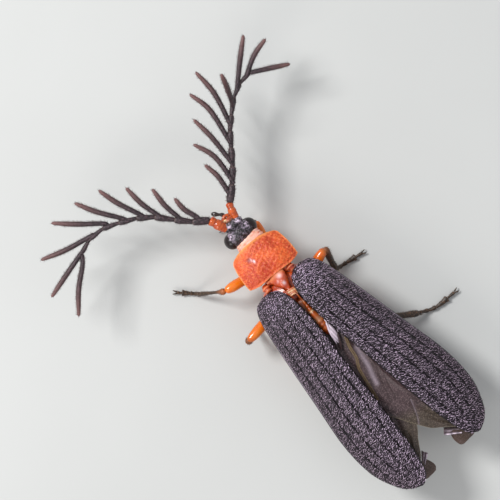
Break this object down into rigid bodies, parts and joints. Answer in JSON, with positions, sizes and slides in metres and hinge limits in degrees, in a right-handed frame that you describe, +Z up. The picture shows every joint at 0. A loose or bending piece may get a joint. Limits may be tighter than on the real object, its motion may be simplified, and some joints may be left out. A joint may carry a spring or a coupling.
{
  "type": "firefly",
  "caption": "Male firefly with comb-like antennae, standing still on six feet with its dark wing covers slightly open over folded wings.",
  "frame": {"origin": "on the floor, under the middle of the animal's bounding box", "axes": "+Y forwards towards the head and antennae, +X the animal's right, +Z up"},
  "size_m": [0.013, 0.0176, 0.0042],
  "materials": {
    "wing_cover": "dark grey-black with a lilac-silver bloom of fine short hair",
    "wing_membrane": "smoky brown membrane with darker veins",
    "orange_cuticle": "satin orange-red, finely punctured",
    "femur_cuticle": "glossy translucent orange",
    "dark_leg_cuticle": "dark brown with short hair",
    "abdomen_cuticle": "satin orange-brown",
    "head_cuticle": "rough black with a lilac sheen",
    "eye": "glossy black",
    "neck_membrane": "pale pink soft membrane",
    "antenna_cuticle": "dark brown-black with short hair"
  },
  "bodies": {
    "root": {"abdomen": "abdomen_cuticle", "antenna_base_left": "orange_cuticle", "antenna_base_right": "orange_cuticle", "antenna_left": "antenna_cuticle", "antenna_right": "antenna_cuticle", "elytron_left": "wing_cover", "elytron_right": "wing_cover", "eye_left": "eye", "eye_right": "eye", "femur_front_left": "femur_cuticle", "femur_front_right": "femur_cuticle", "femur_hind_left": "femur_cuticle", "femur_hind_right": "femur_cuticle", "femur_middle_left": "femur_cuticle", "femur_middle_right": "femur_cuticle", "head": "head_cuticle", "hindwing_left": "wing_membrane", "hindwing_right": "wing_membrane", "mesothorax": "orange_cuticle", "metathorax": "orange_cuticle", "mouthparts": "orange_cuticle", "neck": "neck_membrane", "palp_left": "head_cuticle", "palp_right": "head_cuticle", "pronotum": "orange_cuticle", "prothorax": "orange_cuticle", "scutellum": "orange_cuticle", "tarsus_front_left": "dark_leg_cuticle", "tarsus_front_right": "dark_leg_cuticle", "tarsus_hind_left": "dark_leg_cuticle", "tarsus_hind_right": "dark_leg_cuticle", "tarsus_middle_left": "dark_leg_cuticle", "tarsus_middle_right": "dark_leg_cuticle", "tibia_front_left": "dark_leg_cuticle", "tibia_front_right": "dark_leg_cuticle", "tibia_hind_left": "dark_leg_cuticle", "tibia_hind_right": "dark_leg_cuticle", "tibia_middle_left": "dark_leg_cuticle", "tibia_middle_right": "dark_leg_cuticle"}
  },
  "joints": []
}
